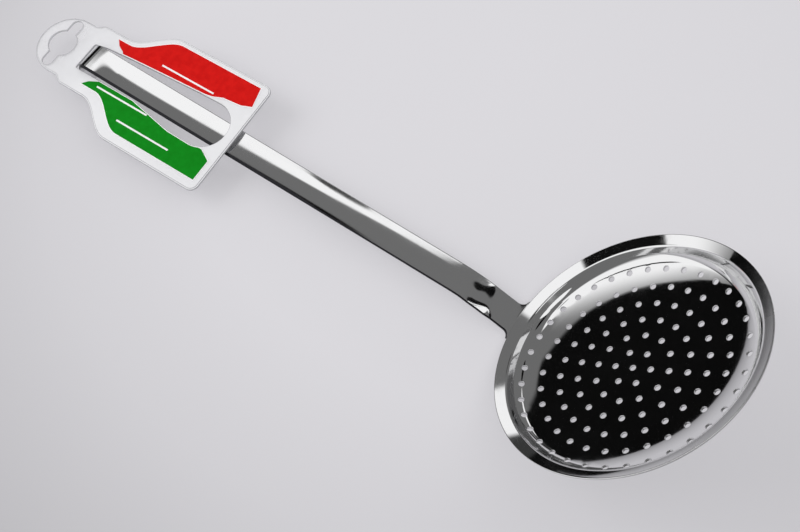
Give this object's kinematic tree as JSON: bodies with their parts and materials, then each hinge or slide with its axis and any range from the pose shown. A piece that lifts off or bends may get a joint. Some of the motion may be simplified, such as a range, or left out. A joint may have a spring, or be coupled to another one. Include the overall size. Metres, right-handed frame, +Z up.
{
  "type": "kitchen skimmer",
  "caption": "Polished steel kitchen skimmer: a pierced shallow bowl on a long strip handle with a hook, and a loose printed hang tag threaded on the handle.",
  "frame": {"origin": "on the table under the middle of the bounding box, with the skimmer lying on its hook's lip and on the near side of its bowl", "axes": "+X along the handle from the hook towards the bowl, +Y across the handle, +Z up from the table"},
  "size_m": [0.3842, 0.12, 0.0778],
  "materials": {
    "polished_steel": "mirror-polished stainless steel",
    "clear_plastic": "slightly milky clear plastic",
    "white_ink": "white print",
    "red_ink": "glossy red print",
    "green_ink": "glossy green print"
  },
  "bodies": {
    "skimmer": {"strainer_bowl": "polished_steel", "handle": "polished_steel"},
    "tag": {"hang_tag": "clear_plastic", "white_print": "white_ink", "red_print": "red_ink", "green_print": "green_ink"}
  },
  "joints": [
    {"name": "tag_slide", "type": "slide", "parent": "skimmer", "child": "tag", "axis": [-0.9998, 0, 0.0207], "range_m": [0, 0.104]}
  ]
}
